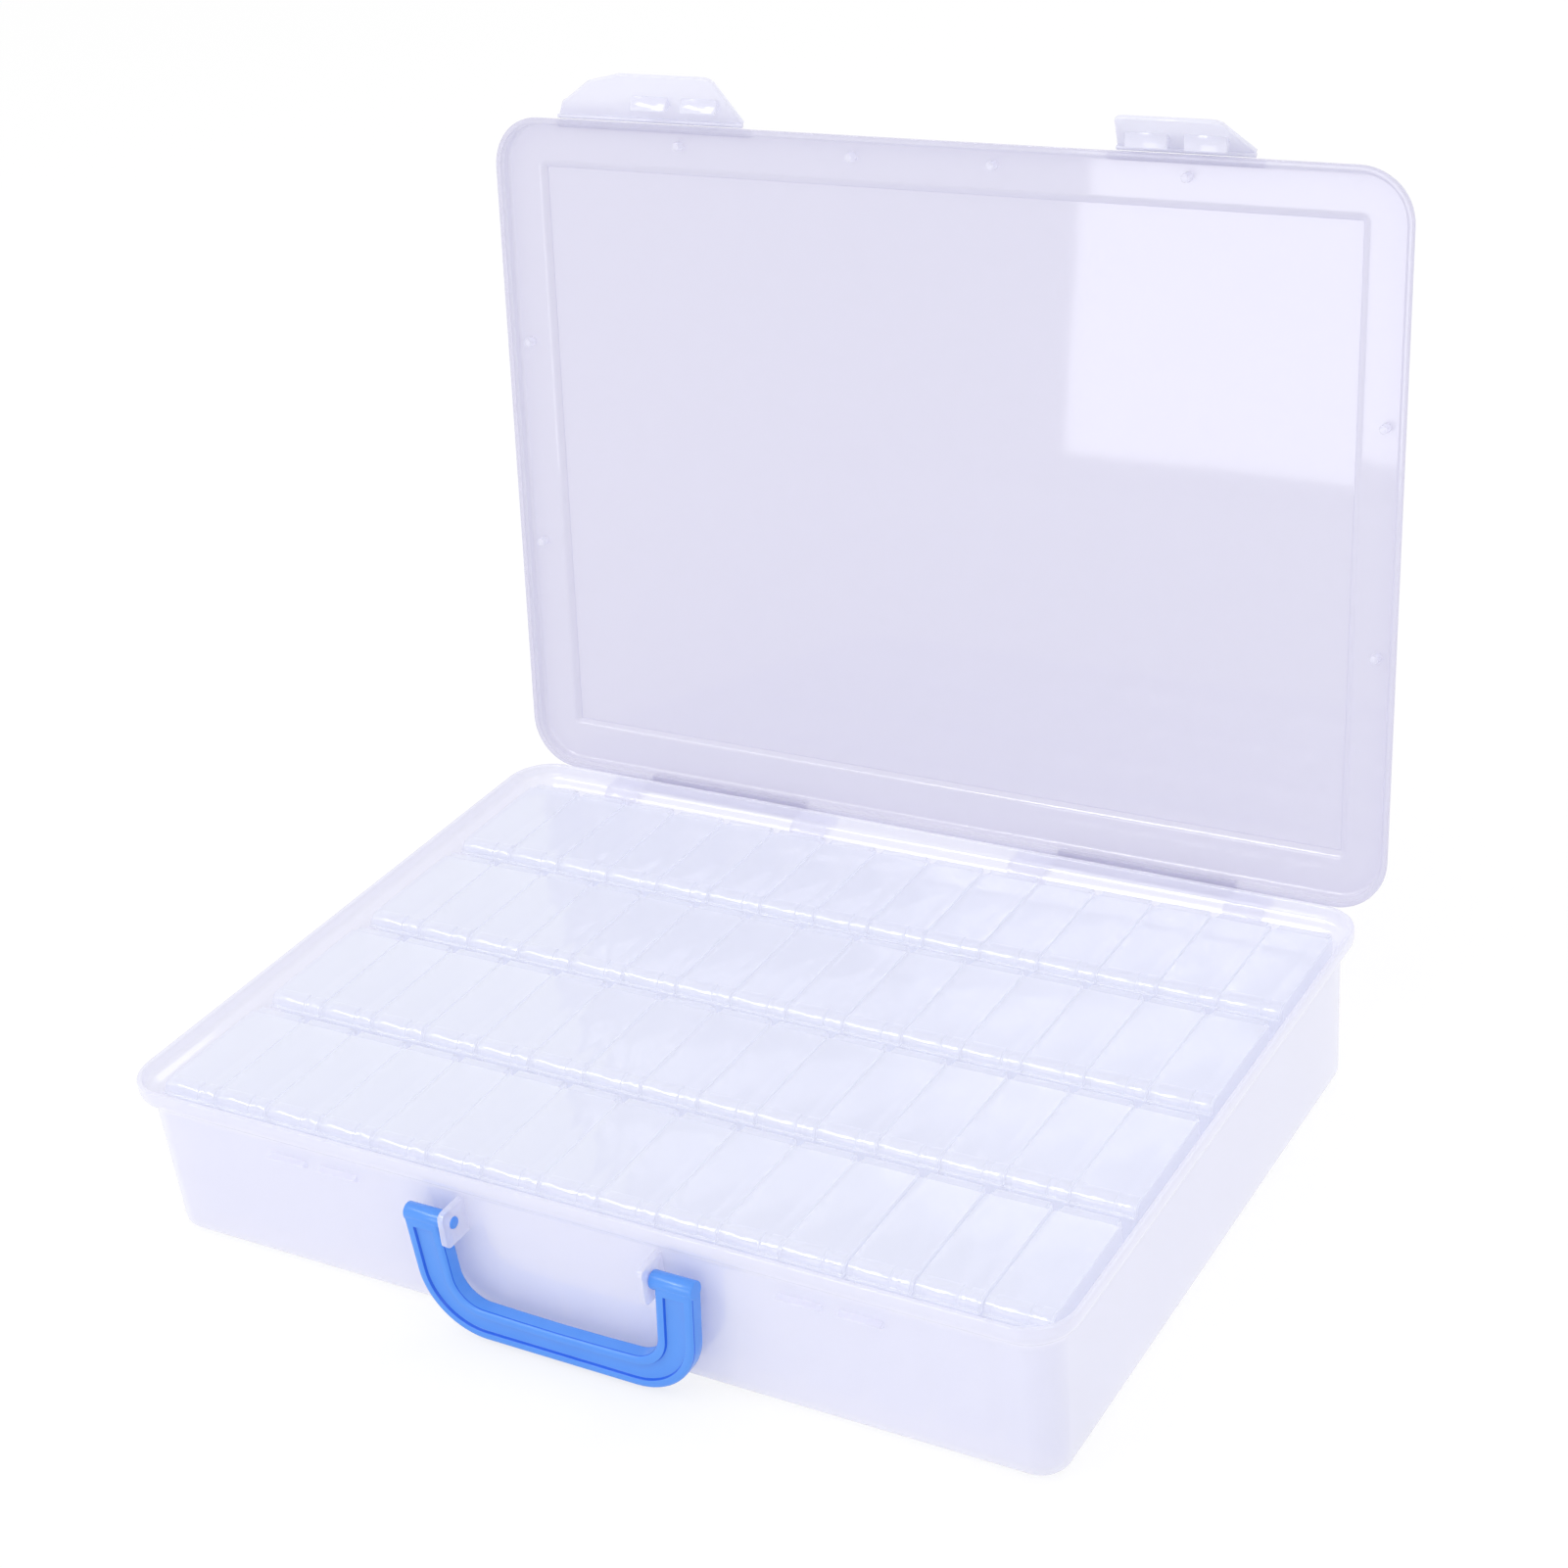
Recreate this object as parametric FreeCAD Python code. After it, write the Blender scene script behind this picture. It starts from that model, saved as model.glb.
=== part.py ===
import FreeCAD, Part
import math
import os

from FreeCAD import Placement, Rotation, Vector

# Bead storage box: a hinged case with a carry handle, holding sixty small flip-lid containers.
# Millimetres, +Z up, front towards -Y. The origin is the middle of the case floor's underside.

# Case, outside at the rim, and how its wall runs
case_width = 350.0
case_depth = 251.0
case_height = 61.1
corner_radius = 16.0
case_wall = 1.8
case_floor = 1.8
bottom_radius = 4.8
rim_overhang = 4.8
rim_bulge_radius = 5.0
rim_bulge_drop = 3.1
rim_bulge_angle = 50.0
rim_neck_radius = 3.0
rim_underside = 1.6
rim_facets = 2
round_facets = 3
wall_draft = 1.2

# Case lid
lid_gap = 0.5
lid_skin = 1.8
lid_seat_gap = 0.2
lid_skirt_drop = 4.6
lid_corner_round = 3.0
lid_flare = 0.8
lid_flare_height = 1.5
lid_channel = 13.5
lid_panel_rise = 2.0
lid_open_angle = 97.3
nub_diameter = 3.6
nub_height = 3.5
nub_draft = 0.3
nub_inset = 1.2
inner_nub_x = 27.5
nub_past_latch = 1.5
side_nub_from_front = (40.5, 120.5)

# Hinge between case and lid: two barrels on the lid, each between two knuckles of the case
hinge_radius = 2.2
hinge_behind_lid = 0.5
hinge_below_skirt = 1.9
hinge_inner_x = 38.5
hinge_from_end = 37.0
knuckle_length = 15.0
hinge_end_gap = 0.3
trunnion_radius = 1.1
trunnion_length = 9.0
trunnion_clearance = 0.06
hinge_arm = 1.9

# Latches: flaps on the lid's free edge that snap under the rim
latch_from_end = 77.5
latch_root_half = 24.8
latch_end_half = 18.4
latch_length = 20.6
latch_skin = 1.6
latch_corner = 4.0
latch_stand_off = 1.3
latch_bead_radius = 0.8
latch_bead_gap = 0.3
latch_shoulder = 30.0
latch_shoulder_height = 6.5
hook_length = 15.0
hook_spacing = 6.0
hook_reach = 4.2
hook_height = 3.6
hook_below_rim = 6.5
left_latch_angle = 56.0
right_latch_angle = 35.0
land_height = 2.6
rest_rib_height = 1.8
rest_rib_reach = 2.6
rest_rib_below_rim = 15.7

# Carry handle and the ears that hold it
handle_width = 108.6
handle_taper = 3.8
handle_arm = 13.4
handle_grip = 11.6
handle_length = 42.5
handle_thickness = 6.2
handle_outer_corner = 24.0
handle_inner_corner = 11.0
handle_border = 3.0
corner_facets = 7
handle_pocket_depth = 1.1
handle_boss_reach = 2.1
handle_tilt = 0.0
handle_pivot_z = 44.0
handle_wall_gap = 3.4
pin_radius = 2.0
pin_length = 3.0
pin_clearance = 0.08
ear_thickness = 2.3
ear_ahead = 5.2
ear_above = 5.6
ear_below = 7.6
ear_corner = 2.4
ear_side_gap = 0.3

# Containers: rows of equal ones, and the room left round them in the case
columns = 15
rows = 4
side_room = 0.45
front_room = 5.0
back_room = 1.3
column_gap = 1.0
row_gap = 5.7
headroom = 4.7
front_squeeze = 0.2
loose_columns = 3
loose_gap = 0.7
container_wall = 1.2
container_draft = 0.9
container_corner = 2.4
container_lid_gap = 0.6
container_lid_skin = 1.2
container_lid_roll = 3.6
container_lid_drop = 4.2
container_lip = 1.0
container_lip_height = 0.6
knuckle_radius = 2.2
cheek_thickness = 1.3
cheek_gap = 0.3
fit_gap = 0.3
lid_facets = 3
rod_facets = 12

half_w = case_width / 2 - corner_radius
half_d = case_depth / 2 - corner_radius
wall_inset = rim_overhang + wall_draft + case_wall
room_width = case_width - 2 * (wall_inset + side_room)
room_depth = case_depth - 2 * wall_inset - front_room - back_room
column_pitch = (room_width + column_gap) / columns
row_pitch = (room_depth + row_gap) / rows
front_row_pitch = column_pitch - front_squeeze
front_row_y = wall_inset + front_room - case_depth / 2
container_width = column_pitch - column_gap
container_length = row_pitch - row_gap
container_lid_width = column_pitch - container_lid_gap
container_lid_top = case_height - headroom
container_top = container_lid_top - container_lid_skin
hinge_outer_x = case_width / 2 - hinge_from_end
latch_x = case_width / 2 - latch_from_end
rest_rib_z = case_height - rest_rib_below_rim


class Outline:
    """A closed outline of lines and arcs in a flat (u, v) plane."""

    def __init__(self, start):
        self.start = start
        self.at = start
        self.steps = []

    def to(self, *points):
        for point in points:
            if math.dist(point, self.at) > 1e-6:
                self.steps.append((self.at, None, point))
                self.at = point
        return self

    def arc(self, centre, radius, begin, end, chords=0):
        """A true arc, or that many straight facets along it."""
        def on(angle):
            turn = math.radians(angle)
            return (centre[0] + radius * math.cos(turn), centre[1] + radius * math.sin(turn))

        self.to(on(begin))
        if chords:
            return self.to(*[on(begin + (end - begin) * (i + 1) / chords) for i in range(chords)])
        self.steps.append((self.at, on((begin + end) / 2), on(end)))
        self.at = on(end)
        return self

    def face(self, place):
        self.to(self.start)
        edges = []
        for begin, middle, end in self.steps:
            if middle is None:
                edges.append(Part.LineSegment(place(begin), place(end)).toShape())
            else:
                edges.append(Part.Arc(place(begin), place(middle), place(end)).toShape())
        return Part.Face(Part.Wire(edges))


def joined(shapes):
    return shapes[0].fuse(shapes[1:]).removeSplitter() if len(shapes) > 1 else shapes[0]


def box(x0, x1, y0, y1, z0, z1):
    return Part.makeBox(x1 - x0, y1 - y0, z1 - z0, Vector(x0, y0, z0))


def rod_x(x0, x1, y, z, radius):
    return Part.makeCylinder(radius, x1 - x0, Vector(x0, y, z), Vector(1, 0, 0))


def faceted_rod(x0, x1, y, z, radius):
    """A rod along X with flat facets, for what is seen but bears on nothing."""
    line = Outline((y + radius, z))
    line.arc((y, z), radius, 0, 360, rod_facets)
    return along_x(line, x0, x1)


def along_x(outline, x0, x1):
    """The outline, drawn as (y, z), drawn out from x0 to x1."""
    face = outline.face(lambda p: Vector(x0, p[0], p[1]))
    return face.extrude(Vector(x1 - x0, 0, 0))


def ring(outline):
    """The outline, drawn as (distance out from the corner centres, z), taken round the case."""
    side = outline.face(lambda p: Vector(half_w + p[0], -half_d, p[1]))
    front = outline.face(lambda p: Vector(-half_w, -half_d - p[0], p[1]))
    right = side.extrude(Vector(0, 2 * half_d, 0))
    near = front.extrude(Vector(2 * half_w, 0, 0))
    corner = side.revolve(Vector(half_w, -half_d, 0), Vector(0, 0, 1), -90)
    other = front.revolve(Vector(-half_w, -half_d, 0), Vector(0, 0, 1), -90)
    half = [right, near, corner, other]
    turn = Rotation(Vector(0, 0, 1), 180)
    turned = []
    for piece in half:
        copy = piece.copy()
        copy.Placement = Placement(Vector(0, 0, 0), turn).multiply(copy.Placement)
        turned.append(copy)
    return half + turned


def tapered(lower, upper):
    """A solid with flat sides between two outlines of one form, the first below the second."""
    count = len(lower)
    sides = []
    for i in range(count):
        j = (i + 1) % count
        sides.append([lower[i], lower[j], upper[j], upper[i]])
    faces = [Part.Face(Part.makePolygon(side + side[:1])) for side in sides + [lower, upper]]
    solid = Part.Solid(Part.Shell(faces))
    if solid.Volume < 0:
        solid.reverse()
    return solid


def save(name, shape):
    solids = [s for s in shape.Solids]
    kept = solids[0] if len(solids) == 1 else Part.makeCompound(solids)
    kept.exportStep(os.path.join("parts", name + ".step"))
    print(name, len(solids), "solid(s), valid", kept.isValid(), "volume", round(kept.Volume, 1))


# Case wall, measured out from the corner centres
wall_out = corner_radius - rim_overhang
foot_out = wall_out - wall_draft
bulge_u = corner_radius - rim_bulge_radius
bulge_z = case_height - rim_bulge_drop


def bulge_end(radius):
    turn = math.radians(rim_bulge_angle)
    return (bulge_u + radius * math.cos(turn), bulge_z - radius * math.sin(turn))


def wall_at(z):
    """How far out the case's outer wall stands at height z, below the rim."""
    return foot_out + wall_draft * z / neck_z


bulge_low = bulge_end(rim_bulge_radius)
neck_turn = math.radians(rim_bulge_angle)
neck_run = rim_neck_radius * (1 - math.cos(neck_turn))
slope_run = bulge_low[0] - neck_run - wall_out
slope_drop = slope_run / math.tan(neck_turn)
neck_z = bulge_low[1] - slope_drop - rim_neck_radius * math.sin(neck_turn)


def case_outline():
    inner_bulge = bulge_end(rim_bulge_radius - case_wall)
    inner_wall = wall_out - case_wall
    inner_foot = foot_out - case_wall
    line = Outline((0, 0))
    line.to((foot_out - bottom_radius, 0))
    line.arc((foot_out - bottom_radius, bottom_radius), bottom_radius, -90, 0, round_facets)
    line.to((wall_out, neck_z), bulge_low)
    line.arc((bulge_u, bulge_z), rim_bulge_radius, -rim_bulge_angle, 0, rim_facets)
    line.to((corner_radius, case_height), (corner_radius - case_wall, case_height))
    line.to((corner_radius - case_wall, bulge_z), inner_bulge)
    line.to((inner_wall, neck_z + rim_underside))
    line.to((inner_foot, case_floor), (0, case_floor))
    return line


# Hinge axis, behind the lid's back skirt
lid_inner = corner_radius + lid_gap
lid_outer = lid_inner + lid_skin
skirt_z = case_height - lid_skirt_drop
lid_under = case_height + lid_seat_gap
lid_top = lid_under + lid_skin
hinge_y = half_d + lid_outer + hinge_behind_lid + hinge_radius
hinge_z = skirt_z - hinge_below_skirt
hinge_spans = ((-hinge_outer_x, -hinge_inner_x), (hinge_inner_x, hinge_outer_x))


def hinge_knuckle(x0, x1):
    """One knuckle of the case: a barrel on an arm that comes out of the rim's neck."""
    arm = Outline((half_d + wall_at(neck_z) - 0.5, neck_z - 2.0))
    arm.to((half_d + corner_radius - 1.0, hinge_z - hinge_radius))
    arm.to((hinge_y, hinge_z - hinge_radius), (hinge_y, hinge_z + hinge_radius - 0.5))
    arm.to((half_d + corner_radius - 2.5, hinge_z + hinge_radius - 0.5))
    arm.to((half_d + wall_out - 0.5, neck_z + 2.0))
    return joined([along_x(arm, x0, x1), faceted_rod(x0, x1, hinge_y, hinge_z, hinge_radius)])


def knuckle_spans():
    spans = []
    for inner, outer in hinge_spans:
        spans.append((inner, inner + knuckle_length))
        spans.append((outer - knuckle_length, outer))
    return spans


handle_pivot_y = -(half_d + wall_out + handle_wall_gap + handle_thickness / 2)
ear_outer_x = handle_width / 2 - handle_arm - handle_boss_reach - ear_side_gap


def ear(x0):
    """A plate with rounded corners that stands out of the front wall and carries a handle pin."""
    wall_y = -half_d - foot_out + 0.3
    front = handle_pivot_y - ear_ahead
    top = handle_pivot_z + ear_above
    low = handle_pivot_z - ear_below
    line = Outline((wall_y, low))
    line.arc((front + ear_corner, low + ear_corner), ear_corner, -90, -180, round_facets)
    line.arc((front + ear_corner, top - ear_corner), ear_corner, 180, 90, round_facets)
    line.to((wall_y, top))
    plate = along_x(line, x0, x0 + ear_thickness)
    bore = rod_x(x0 - 1, x0 + ear_thickness + 1, handle_pivot_y, handle_pivot_z,
                 pin_radius + pin_clearance)
    return plate.cut(bore)


def rest_ribs():
    """Pairs of short ribs on the front wall, behind the latches' free ends."""
    wall_y = -half_d - wall_at(rest_rib_z)
    ribs = []
    for side in (-1, 1):
        for end in (-1, 1):
            middle = side * latch_x + end * (hook_length + hook_spacing) / 2
            line = Outline((wall_y + 0.5, rest_rib_z - rest_rib_height))
            line.to((wall_y - rest_rib_reach, rest_rib_z - 0.4), (wall_y - rest_rib_reach, rest_rib_z))
            line.to((wall_y + 0.5, rest_rib_z + rest_rib_height / 2))
            ribs.append(along_x(line, middle - hook_length / 2, middle + hook_length / 2))
    return ribs


def case_base():
    floor = box(-half_w, half_w, -half_d, half_d, 0, case_floor)
    shell = joined(ring(case_outline()) + [floor])
    knuckles = [hinge_knuckle(x0, x1) for x0, x1 in knuckle_spans()]
    ears = [ear(-ear_outer_x), ear(ear_outer_x - ear_thickness)]
    solid = joined([shell] + knuckles + ears + rest_ribs())
    for inner, outer in hinge_spans:
        reach = knuckle_length - trunnion_length - hinge_end_gap
        bore_radius = trunnion_radius + trunnion_clearance
        solid = solid.cut(rod_x(inner + reach, outer - reach, hinge_y, hinge_z, bore_radius))
        gap = rod_x(inner + knuckle_length, outer - knuckle_length, hinge_y, hinge_z, hinge_radius)
        solid = solid.cut(gap)
    return solid


def lid_outline():
    """The lid's section when it is shut: skirt, rounded corner, channel and step up to the panel."""
    panel_u = lid_outer - lid_skin - lid_channel
    round_centre = (lid_outer - lid_corner_round, lid_top - lid_corner_round)
    line = Outline((0, lid_top + lid_panel_rise))
    line.to((panel_u - lid_panel_rise, lid_top + lid_panel_rise), (panel_u, lid_top))
    line.arc(round_centre, lid_corner_round, 90, 0, round_facets)
    line.to((lid_outer, skirt_z + lid_flare_height + lid_flare))
    line.to((lid_outer + lid_flare, skirt_z + lid_flare_height), (lid_outer + lid_flare, skirt_z))
    line.to((lid_inner, skirt_z), (lid_inner, lid_under))
    line.to((panel_u, lid_under), (panel_u - lid_panel_rise, lid_under + lid_panel_rise))
    line.to((0, lid_under + lid_panel_rise))
    return line


def nub(x, y):
    """An eight-sided peg that narrows a little towards its end."""
    def ring_at(radius, z):
        turns = [math.radians(22.5 + 45 * i) for i in range(8)]
        return [Vector(x + radius * math.cos(t), y + radius * math.sin(t), z) for t in turns]

    return tapered(ring_at(nub_diameter / 2 - nub_draft, lid_under - nub_height),
                   ring_at(nub_diameter / 2, lid_under + 0.2))


def lid_nubs():
    """Round nubs in the channel that sit just inside the case's rim when the lid is shut."""
    reach = corner_radius - case_wall - nub_diameter / 2 - nub_inset
    spread = (inner_nub_x, latch_x + nub_past_latch)
    front = [nub(side * x, -half_d - reach) for x in spread for side in (-1, 1)]
    front_y = -half_d - corner_radius
    sides = [nub(side * (half_w + reach), front_y + away) for away in side_nub_from_front
             for side in (-1, 1)]
    return front + sides


def lid_barrel(inner, outer):
    """A barrel of the lid, with its leaf to the skirt and a trunnion at each end."""
    x0 = inner + knuckle_length + hinge_end_gap
    x1 = outer - knuckle_length - hinge_end_gap
    leaf = Outline((hinge_y, hinge_z))
    leaf.to((hinge_y + hinge_radius, hinge_z))
    leaf.to((hinge_y + hinge_radius, skirt_z + 1.5), (half_d + lid_outer, lid_under - 0.5))
    leaf.to((half_d + lid_inner + 0.4, lid_under - 0.5), (half_d + lid_inner + 0.4, skirt_z))
    leaf.to((hinge_y - hinge_radius, skirt_z))
    parts = [along_x(leaf, x0, x1), faceted_rod(x0, x1, hinge_y, hinge_z, hinge_radius)]
    pin_x0 = x0 - trunnion_length
    pin_x1 = x1 + trunnion_length
    parts.append(rod_x(pin_x0, pin_x1, hinge_y, hinge_z, trunnion_radius))
    return joined(parts)


latch_axis_y = -(half_d + lid_outer + latch_bead_radius + latch_bead_gap)
latch_axis_z = lid_top - latch_bead_radius - 0.1


def latch_land(centre, half):
    """The square edge on the lid that a latch hangs from."""
    y = -half_d - lid_outer
    low = lid_top - land_height
    line = Outline((y, low))
    line.to((y, lid_top), (y + lid_corner_round, lid_top), (y + lid_corner_round, lid_under))
    line.to((y + lid_skin, lid_under), (y + lid_skin, low))
    return along_x(line, centre - half, centre + half)


def lid_cleared_for_base(solid):
    """Notches in the back skirt's flare, over the case's knuckles."""
    for x0, x1 in knuckle_spans():
        low = half_d + lid_outer
        notch = box(x0 - 1, x1 + 1, low, low + 2 * lid_flare, skirt_z - 1, skirt_z + 4)
        solid = solid.cut(notch)
    return solid


def case_lid():
    plate = box(-half_w, half_w, -half_d, half_d, lid_under + lid_panel_rise, lid_top + lid_panel_rise)
    shell = joined(ring(lid_outline()) + [plate])
    lands = [latch_land(-latch_x, latch_root_half + 3), latch_land(latch_x, latch_root_half + 3)]
    lands.append(latch_land(-latch_x - latch_root_half - latch_shoulder / 2, latch_shoulder / 2))
    barrels = [lid_barrel(inner, outer) for inner, outer in hinge_spans]
    solid = joined([lid_cleared_for_base(shell)] + lands + lid_nubs() + barrels)
    return opened(solid)


def opened(shape):
    """Turned about the hinge from shut to where the lid leans open."""
    shape.rotate(Vector(0, hinge_y, hinge_z), Vector(1, 0, 0), -lid_open_angle)
    return shape


def latch_plate(shoulder):
    """The flap's outline, seen from the front of the shut case, drawn down from its hinge."""
    top = latch_axis_z
    low = top - latch_length
    run = latch_root_half - latch_end_half
    rise = latch_length - latch_corner
    left = [(-latch_root_half, top), (-latch_end_half - run * latch_corner / latch_length, top - rise)]
    if shoulder:
        left = [(-latch_root_half - shoulder, top)]
        left.append((-latch_root_half - shoulder * 0.86, top - latch_shoulder_height))
        left.append((-latch_root_half - shoulder * 0.35, low + latch_corner))
    left.append((-latch_end_half + latch_corner - shoulder * 0.2, low))
    right = [(latch_end_half - latch_corner, low)]
    right.append((latch_end_half + run * latch_corner / latch_length, top - rise))
    right.append((latch_root_half, top))
    inner_y = latch_axis_y + latch_bead_radius - latch_stand_off
    edge = [Vector(x, inner_y, z) for x, z in left + right]
    face = Part.Face(Part.makePolygon(edge + edge[:1]))
    return face.extrude(Vector(0, -latch_skin, 0))


def latch_hook(middle):
    """A wedge on the flap's inner side that snaps under the rim's bulge."""
    inner_y = latch_axis_y + latch_bead_radius - latch_stand_off
    top = case_height - hook_below_rim
    line = Outline((inner_y - 0.5, top))
    line.to((inner_y + hook_reach, top), (inner_y + hook_reach, top - 0.8))
    line.to((inner_y, top - hook_height), (inner_y - 0.5, top - hook_height))
    return along_x(line, middle - hook_length / 2, middle + hook_length / 2)


def latch(side, angle, shoulder):
    offset = (hook_length + hook_spacing) / 2
    plate = latch_plate(shoulder)
    edges = plate.BoundBox
    bead_line = Outline((latch_axis_y, latch_axis_z + latch_bead_radius))
    bead_line.arc((latch_axis_y, latch_axis_z), latch_bead_radius, 90, 0)
    bead_line.arc((latch_axis_y, latch_axis_z), latch_bead_radius, 0, -270, 6)
    bead = along_x(bead_line, edges.XMin, edges.XMax)
    solid = joined([plate, bead, latch_hook(-offset), latch_hook(offset)])
    solid.translate(Vector(side * latch_x, 0, 0))
    solid.rotate(Vector(0, latch_axis_y, latch_axis_z), Vector(1, 0, 0), -angle)
    return opened(solid)


def handle_outline(inset):
    """Half of the handle's face on the +X side, from the pivot down, as (x, z) from the pivot."""
    lean = math.degrees(math.atan2(handle_taper, handle_length))
    slope = handle_taper / handle_length
    half = handle_width / 2 - inset
    low = -handle_length + inset
    bar = -handle_length + handle_grip - inset
    outer_r = handle_outer_corner - inset
    inner_r = handle_inner_corner + inset
    inner_half = handle_width / 2 - handle_arm + inset

    def arm(edge, z):
        return edge + slope * z

    turn = math.radians(lean)
    outer_z = low + outer_r * (1 - math.sin(turn))
    outer_x = arm(half, outer_z) - outer_r * math.cos(turn)
    inner_z = bar + inner_r * (1 - math.sin(turn))
    inner_x = arm(inner_half, inner_z) - inner_r * math.cos(turn)
    line = Outline((0, low))
    line.arc((outer_x, low + outer_r), outer_r, -90, -lean, corner_facets)
    line.to((half, 0), (inner_half, 0))
    line.arc((inner_x, bar + inner_r), inner_r, -lean, -90, corner_facets)
    line.to((0, bar))
    return line


def handle_half(inset, y0, y1):
    face = handle_outline(inset).face(lambda p: Vector(p[0], y0, p[1]))
    return face.extrude(Vector(0, y1 - y0, 0))


def mirrored(shape):
    return shape.mirror(Vector(0, 0, 0), Vector(1, 0, 0))


def carry_handle():
    half_t = handle_thickness / 2
    tip = handle_width / 2
    right = handle_half(0, -half_t, half_t)
    boss = faceted_rod(tip - handle_arm - handle_boss_reach, tip, 0, 0, half_t)
    right = joined([right, boss])
    pocket = handle_half(handle_border, -half_t - 1, -half_t + handle_pocket_depth)
    above = box(-1, tip, -half_t - 2, half_t, -half_t - 1.5, 1)
    right = right.cut(pocket.cut(above))
    pin_end = tip - handle_arm - handle_boss_reach - pin_length
    right = joined([right, rod_x(pin_end, tip - handle_arm, 0, 0, pin_radius)])
    solid = joined([right, mirrored(right)])
    solid.rotate(Vector(0, 0, 0), Vector(1, 0, 0), -handle_tilt)
    solid.translate(Vector(0, handle_pivot_y, handle_pivot_z))
    return solid


def column_x(row, column):
    """The last few containers of the front row stand a little apart."""
    if row > 0:
        return (column - (columns - 1) / 2) * column_pitch
    start = -((columns - 1) * front_row_pitch + loose_columns * loose_gap) / 2
    loose = max(0, column - (columns - 1 - loose_columns))
    return start + column * front_row_pitch + loose * loose_gap


def container_places(row):
    return [Vector(column_x(row, column), front_row_y + row * row_pitch, 0) for column in range(columns)]


lid_axis_y = container_length - knuckle_radius
lid_axis_z = container_lid_top - knuckle_radius
body_front = container_lid_roll * 0.45
body_back = container_length - 1.0


def eight_sided(half_x, inset, cut, z):
    """The container's outline with its corners cut, inset from its rim, at height z."""
    x = half_x - inset
    y0 = body_front + inset
    y1 = body_back - inset
    points = [(-x + cut, y0), (x - cut, y0), (x, y0 + cut), (x, y1 - cut),
              (x - cut, y1), (-x + cut, y1), (-x, y1 - cut), (-x, y0 + cut)]
    return [Vector(px, py, z) for px, py in points]


def container_body():
    """An open tapered box with bevelled upright edges, notched at the back for the lid's knuckle."""
    half = container_width / 2
    low = case_floor
    wall = container_wall
    outer = tapered(eight_sided(half, container_draft, container_corner, low),
                    eight_sided(half, 0, container_corner, container_top))
    inner_corner = container_corner - wall * (2 - math.sqrt(2))
    hollow = tapered(eight_sided(half, container_draft + wall, inner_corner, low + wall),
                     eight_sided(half, wall, inner_corner, container_top))
    seat_half = half - cheek_thickness
    seat_z = lid_axis_z - knuckle_radius - fit_gap
    seat_y = lid_axis_y - knuckle_radius - fit_gap
    seat = box(-seat_half, seat_half, seat_y, container_length + 1, seat_z, container_top + 1)
    slope = fit_gap * math.sqrt(2)
    roll_z = container_lid_top - container_lid_roll - container_lid_skin - slope
    under_roll = Outline((body_front - 1, container_top + 1))
    under_roll.to((body_front - 1, roll_z + body_front - 1))
    under_roll.to((container_top + 1 - roll_z, container_top + 1))
    return outer.cut([hollow, seat, along_x(under_roll, -half - 1, half + 1)])


def container_lid():
    """A flat lid with a rolled front edge and lip, and a round knuckle along its back."""
    top = container_lid_top
    roll = container_lid_roll
    skin = container_lid_skin
    cheek_y = lid_axis_y - knuckle_radius - fit_gap
    front = Outline((cheek_y, top))
    front.to((roll, top))
    front.arc((roll, top - roll), roll, 90, 180, lid_facets)
    lip_z = top - container_lid_drop
    front.to((-container_lip, lip_z + container_lip_height), (-container_lip, lip_z))
    front.to((skin, lip_z), (skin, top - roll), (roll, container_top))
    front.to((cheek_y, container_top))
    wide = along_x(front, -container_lid_width / 2, container_lid_width / 2)
    back = Outline((cheek_y, container_top))
    back.to((cheek_y, top))
    back.arc((lid_axis_y, lid_axis_z), knuckle_radius, 90, 20, 2)
    back.arc((lid_axis_y, lid_axis_z), knuckle_radius, 20, -10)
    back.arc((lid_axis_y, lid_axis_z), knuckle_radius, -10, -150, lid_facets)
    narrow_half = container_width / 2 - cheek_thickness - cheek_gap
    narrow = along_x(back, -narrow_half, narrow_half)
    return joined([wide, narrow])


def copies(shape, places):
    out = []
    for place in places:
        copy = shape.copy()
        copy.translate(place)
        out.append(copy)
    return out


def main():
    os.makedirs("parts", exist_ok=True)
    save("case_base", case_base())
    save("case_lid", case_lid())
    save("latch_left", latch(-1, left_latch_angle, latch_shoulder))
    save("latch_right", latch(1, right_latch_angle, 0))
    save("carry_handle", carry_handle())
    body = container_body()
    lid = container_lid()
    front = container_places(0)
    for number, (one, cover) in enumerate(zip(copies(body, front), copies(lid, front)), 1):
        save(f"container_{number:02d}", one)
        save(f"container_lid_{number:02d}", cover)
    for row in range(1, rows):
        save(f"row_{row + 1}_containers", Part.makeCompound(copies(body, container_places(row))))
        save(f"row_{row + 1}_lids", Part.makeCompound(copies(lid, container_places(row))))
    hinge = f"y {hinge_y:.3f} z {hinge_z:.3f}"
    print("case hinge", hinge, "handle pivot y", round(handle_pivot_y, 3), "z", handle_pivot_z)
    axis = opened(Part.Vertex(0, latch_axis_y, latch_axis_z)).Point
    print("latch axis y", round(axis.y, 3), "z", round(axis.z, 3))
    print("container lid axis y", round(lid_axis_y, 3), "z", round(lid_axis_z, 3))


main()
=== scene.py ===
import math

import bmesh
import bpy
from mathutils import Matrix, Vector


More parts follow.
